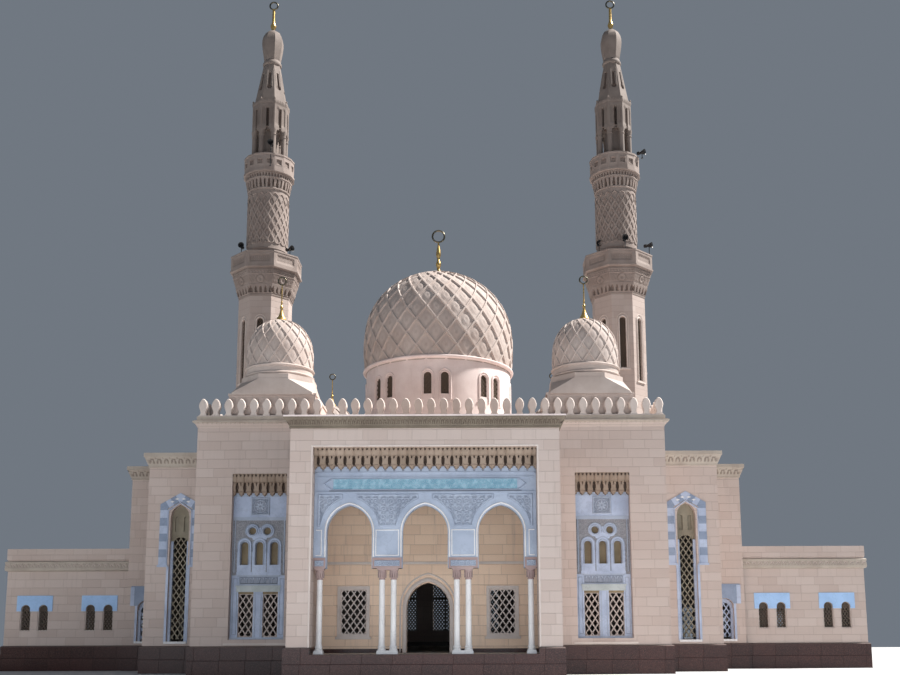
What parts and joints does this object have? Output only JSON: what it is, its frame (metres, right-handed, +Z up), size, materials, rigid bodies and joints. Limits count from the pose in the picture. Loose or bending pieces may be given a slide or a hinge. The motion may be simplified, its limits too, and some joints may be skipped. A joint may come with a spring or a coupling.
{
  "type": "mosque building with one great dome, four small domes and two minarets, as a scale model at 1:2",
  "caption": "Stone mosque, 1:2 scale model: hall with ribbed dome, corner domes, arcaded portal, side wings and two tall stepped minarets.",
  "frame": {"origin": "on the ground below the centre of the great dome, the middle of the model's footprint", "axes": "+X to the right of the entrance front, -Y the way the entrance front faces, +Z up"},
  "size_m": [21.1, 17.56, 21.5261],
  "materials": {
    "stone": "dressed pink-beige ashlar with fine joints",
    "marble": "honed pale grey marble with carving",
    "granite": "polished dark red granite",
    "paving": "pale floor slabs",
    "brass": "gilded, polished",
    "lattice": "dark stained window lattice",
    "turquoise": "glazed turquoise band",
    "equipment": "satin black paint"
  },
  "bodies": {
    "root": {"granite_plinth": "granite", "floor_slab": "paving", "front_wall": "stone", "rear_wall": "stone", "left_hall_wall": "stone", "right_hall_wall": "stone", "left_niche_panel": "marble", "right_niche_panel": "marble", "hall_roof": "stone", "front_parapet": "stone", "rear_parapet": "stone", "left_parapet": "stone", "right_parapet": "stone", "portal_walls": "stone", "portal_roof": "stone", "rear_portal_walls": "stone", "rear_portal_roof": "stone", "portico_back_wall": "stone", "arcade_screen": "marble", "honeycomb_cornice": "stone", "left_column_pair": "marble", "right_column_pair": "marble", "left_side_column": "marble", "right_side_column": "marble", "left_aisle_walls": "stone", "right_aisle_walls": "stone", "left_aisle_roof": "stone", "right_aisle_roof": "stone", "left_wing_walls": "stone", "right_wing_walls": "stone", "left_wing_roof": "stone", "right_wing_roof": "stone", "great_drum": "stone", "great_dome": "stone", "great_dome_finial": "brass", "front_left_dome": "stone", "front_right_dome": "stone", "rear_left_dome": "stone", "rear_right_dome": "stone", "front_left_dome_finial": "brass", "front_right_dome_finial": "brass", "rear_left_dome_finial": "brass", "rear_right_dome_finial": "brass", "left_minaret_shaft": "stone", "right_minaret_shaft": "stone", "left_minaret_lower_balcony": "stone", "right_minaret_lower_balcony": "stone", "left_minaret_upper_shaft": "stone", "right_minaret_upper_shaft": "stone", "left_minaret_upper_balcony": "stone", "right_minaret_upper_balcony": "stone", "left_minaret_lantern": "stone", "right_minaret_lantern": "stone", "left_minaret_finial": "brass", "right_minaret_finial": "brass"}
  },
  "joints": []
}
